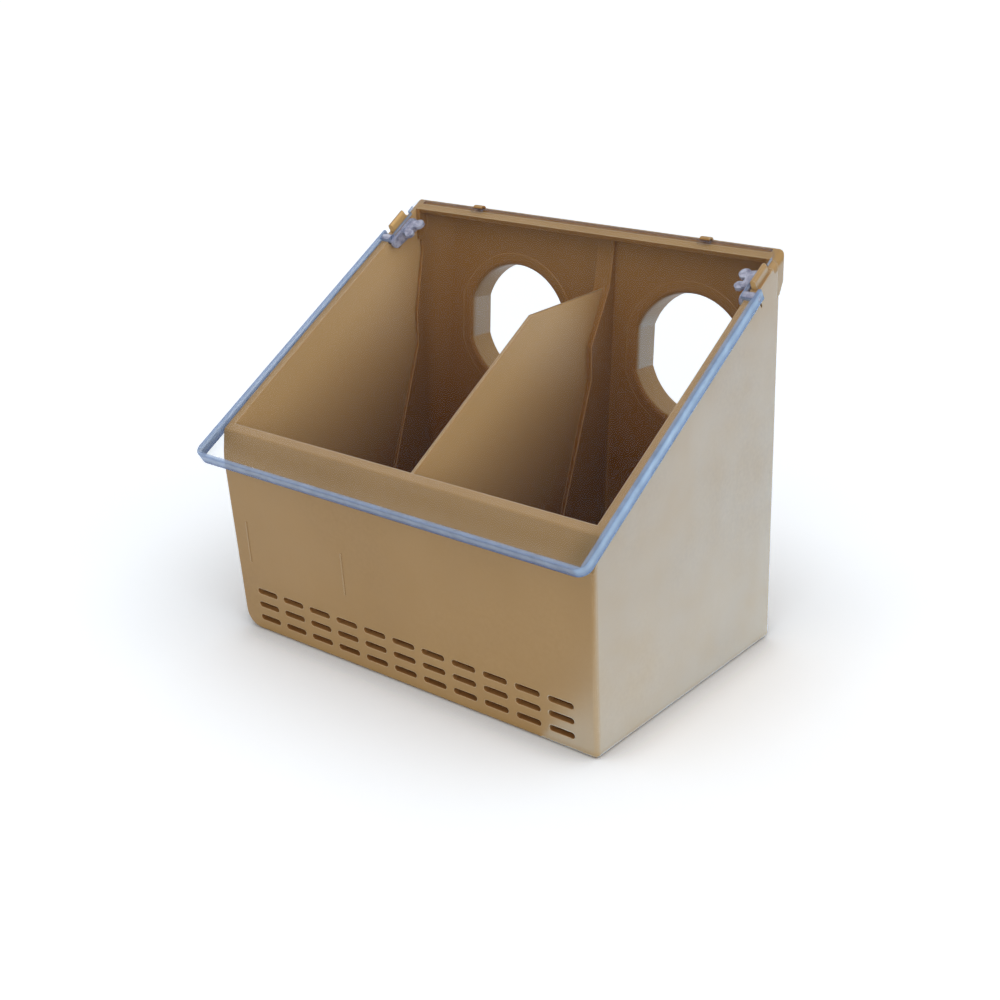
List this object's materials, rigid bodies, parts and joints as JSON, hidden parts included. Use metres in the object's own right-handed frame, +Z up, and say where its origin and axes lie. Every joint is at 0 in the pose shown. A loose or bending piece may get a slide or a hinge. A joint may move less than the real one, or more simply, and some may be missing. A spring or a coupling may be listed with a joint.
{
  "type": "pigeon feeder",
  "caption": "Outside feeder for pigeons with a sloped tip-up clear lid, a centre divider, round feeding holes in the rear wall and air slots at the front.",
  "frame": {"origin": "centre of the flat base, on the surface that the feeder stands on", "axes": "+X across the front to the right, +Y to the rear wall with the feeding holes, +Z up"},
  "size_m": [0.264, 0.2089, 0.2194],
  "materials": {
    "body_plastic": "tan moulded plastic, satin gloss",
    "divider_plastic": "tan moulded plastic, satin gloss",
    "clear_plastic": "clear moulded plastic, polished"
  },
  "bodies": {
    "housing": {"tub": "body_plastic", "back_panel": "body_plastic", "divider": "divider_plastic"},
    "cover": {"lid": "clear_plastic", "left_clip": "clear_plastic", "right_clip": "clear_plastic"}
  },
  "joints": [
    {"name": "lid_hinge", "type": "hinge", "parent": "housing", "child": "cover", "pos_m": [0, 0.08122, 0.21682], "axis": [-1, 0, 0], "range_deg": [0, 110]}
  ]
}
